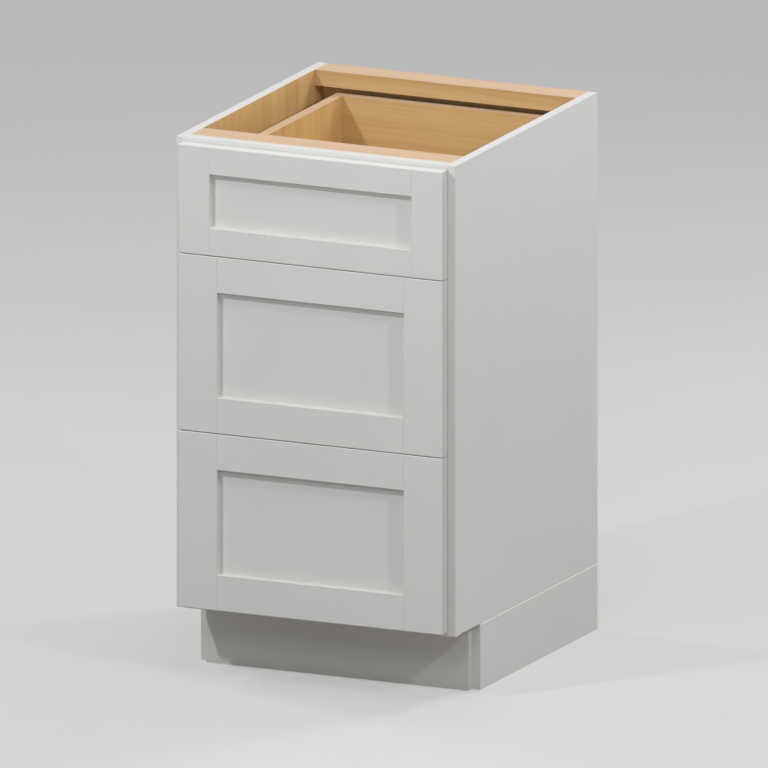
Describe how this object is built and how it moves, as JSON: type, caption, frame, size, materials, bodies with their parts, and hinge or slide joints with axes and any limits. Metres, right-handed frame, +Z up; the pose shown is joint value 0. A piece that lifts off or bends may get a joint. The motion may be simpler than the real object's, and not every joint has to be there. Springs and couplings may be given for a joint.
{
  "type": "vanity base cabinet",
  "caption": "White painted vanity base cabinet with an open top, shaker drawer fronts over a face frame, maple drawer boxes on telescopic slides and a recessed toe kick.",
  "frame": {"origin": "on the floor, in the middle of the cabinet's outline", "axes": "+X to the right of someone who faces the drawers, +Y to the back, +Z up"},
  "size_m": [0.4572, 0.5286, 0.822],
  "materials": {
    "painted_wood": "satin white paint on wood",
    "maple": "clear-coated maple",
    "zinc_steel": "bright zinc plating",
    "clear_pad": "clear soft plastic"
  },
  "bodies": {
    "cabinet": {"side_panel_left": "painted_wood", "side_panel_right": "painted_wood", "floor_panel": "maple", "back_panel": "maple", "front_stretcher": "maple", "back_stretcher": "maple", "face_stile_left": "painted_wood", "face_stile_right": "painted_wood", "face_top_rail": "painted_wood", "face_upper_rail": "painted_wood", "face_lower_rail": "painted_wood", "face_bottom_rail": "painted_wood", "front_bumpers": "clear_pad", "plinth_side_left": "painted_wood", "plinth_side_right": "painted_wood", "plinth_front_rail": "maple", "plinth_back_rail": "maple", "toe_kick_board": "painted_wood", "slide_spacers": "maple", "cabinet_channels": "zinc_steel"},
    "upper_drawer": {"upper_front_stiles": "painted_wood", "upper_front_rails": "painted_wood", "upper_front_panel": "painted_wood", "upper_box_side_left": "maple", "upper_box_side_right": "maple", "upper_box_front": "maple", "upper_box_back": "maple", "upper_box_bottom": "maple", "upper_drawer_channels": "zinc_steel"},
    "upper_intermediate_channels": {"upper_intermediate_channels": "zinc_steel"},
    "upper_outer_cages": {"upper_outer_ball_cages": "zinc_steel"},
    "upper_inner_cages": {"upper_inner_ball_cages": "zinc_steel"},
    "middle_drawer": {"middle_front_stiles": "painted_wood", "middle_front_rails": "painted_wood", "middle_front_panel": "painted_wood", "middle_box_side_left": "maple", "middle_box_side_right": "maple", "middle_box_front": "maple", "middle_box_back": "maple", "middle_box_bottom": "maple", "middle_drawer_channels": "zinc_steel"},
    "middle_intermediate_channels": {"middle_intermediate_channels": "zinc_steel"},
    "middle_outer_cages": {"middle_outer_ball_cages": "zinc_steel"},
    "middle_inner_cages": {"middle_inner_ball_cages": "zinc_steel"},
    "lower_drawer": {"lower_front_stiles": "painted_wood", "lower_front_rails": "painted_wood", "lower_front_panel": "painted_wood", "lower_box_side_left": "maple", "lower_box_side_right": "maple", "lower_box_front": "maple", "lower_box_back": "maple", "lower_box_bottom": "maple", "lower_drawer_channels": "zinc_steel"},
    "lower_intermediate_channels": {"lower_intermediate_channels": "zinc_steel"},
    "lower_outer_cages": {"lower_outer_ball_cages": "zinc_steel"},
    "lower_inner_cages": {"lower_inner_ball_cages": "zinc_steel"}
  },
  "joints": [
    {"name": "upper_drawer_slide", "type": "slide", "parent": "cabinet", "child": "upper_drawer", "axis": [0, -1, 0], "range_m": [0, 0.4572]},
    {"name": "upper_intermediate_channels_slide", "type": "slide", "parent": "cabinet", "child": "upper_intermediate_channels", "axis": [0, -1, 0], "range_m": [0, 0.2286]},
    {"name": "upper_outer_cages_slide", "type": "slide", "parent": "cabinet", "child": "upper_outer_cages", "axis": [0, -1, 0], "range_m": [0, 0.1143]},
    {"name": "upper_inner_cages_slide", "type": "slide", "parent": "cabinet", "child": "upper_inner_cages", "axis": [0, -1, 0], "range_m": [0, 0.3429]},
    {"name": "middle_drawer_slide", "type": "slide", "parent": "cabinet", "child": "middle_drawer", "axis": [0, -1, 0], "range_m": [0, 0.4572]},
    {"name": "middle_intermediate_channels_slide", "type": "slide", "parent": "cabinet", "child": "middle_intermediate_channels", "axis": [0, -1, 0], "range_m": [0, 0.2286]},
    {"name": "middle_outer_cages_slide", "type": "slide", "parent": "cabinet", "child": "middle_outer_cages", "axis": [0, -1, 0], "range_m": [0, 0.1143]},
    {"name": "middle_inner_cages_slide", "type": "slide", "parent": "cabinet", "child": "middle_inner_cages", "axis": [0, -1, 0], "range_m": [0, 0.3429]},
    {"name": "lower_drawer_slide", "type": "slide", "parent": "cabinet", "child": "lower_drawer", "axis": [0, -1, 0], "range_m": [0, 0.4572]},
    {"name": "lower_intermediate_channels_slide", "type": "slide", "parent": "cabinet", "child": "lower_intermediate_channels", "axis": [0, -1, 0], "range_m": [0, 0.2286]},
    {"name": "lower_outer_cages_slide", "type": "slide", "parent": "cabinet", "child": "lower_outer_cages", "axis": [0, -1, 0], "range_m": [0, 0.1143]},
    {"name": "lower_inner_cages_slide", "type": "slide", "parent": "cabinet", "child": "lower_inner_cages", "axis": [0, -1, 0], "range_m": [0, 0.3429]}
  ],
  "couplings": [
    {"joint": "upper_intermediate_channels_slide", "follows": "upper_drawer_slide", "ratio": 0.5},
    {"joint": "upper_outer_cages_slide", "follows": "upper_drawer_slide", "ratio": 0.25},
    {"joint": "upper_inner_cages_slide", "follows": "upper_drawer_slide", "ratio": 0.75},
    {"joint": "middle_intermediate_channels_slide", "follows": "middle_drawer_slide", "ratio": 0.5},
    {"joint": "middle_outer_cages_slide", "follows": "middle_drawer_slide", "ratio": 0.25},
    {"joint": "middle_inner_cages_slide", "follows": "middle_drawer_slide", "ratio": 0.75},
    {"joint": "lower_intermediate_channels_slide", "follows": "lower_drawer_slide", "ratio": 0.5},
    {"joint": "lower_outer_cages_slide", "follows": "lower_drawer_slide", "ratio": 0.25},
    {"joint": "lower_inner_cages_slide", "follows": "lower_drawer_slide", "ratio": 0.75}
  ]
}
